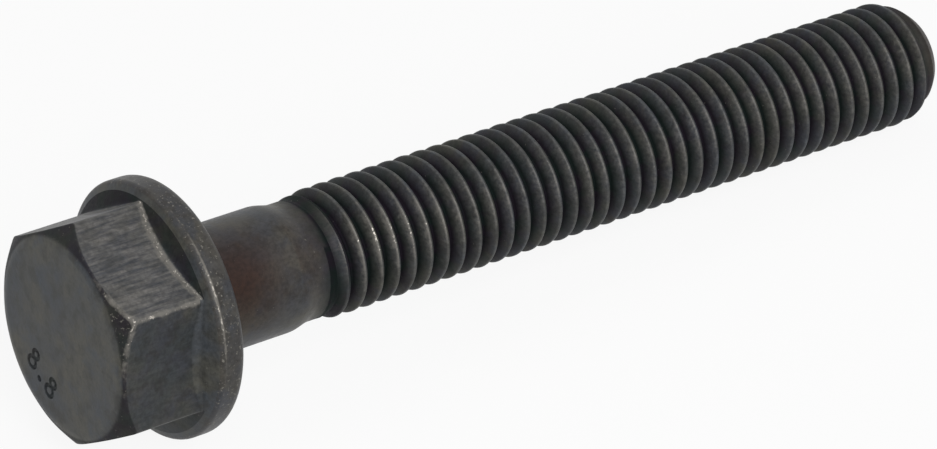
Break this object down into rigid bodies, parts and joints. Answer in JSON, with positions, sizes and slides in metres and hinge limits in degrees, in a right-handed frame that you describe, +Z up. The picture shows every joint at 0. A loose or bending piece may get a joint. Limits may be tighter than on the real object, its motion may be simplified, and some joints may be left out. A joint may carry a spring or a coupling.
{
  "type": "hex flange bolt",
  "caption": "Hexagon head bolt with a collar flange, a short plain shank and a long rolled metric thread, for clamping parts without a washer.",
  "frame": {"origin": "on the ground, under the middle of the lying bolt's box", "axes": "+X along the lying bolt from head to tip, +Z up"},
  "size_m": [0.08, 0.0196, 0.0196],
  "materials": {
    "black_steel": "black oxide, oiled, worn bright on the edges"
  },
  "bodies": {
    "root": {"bolt": "black_steel"}
  },
  "joints": []
}
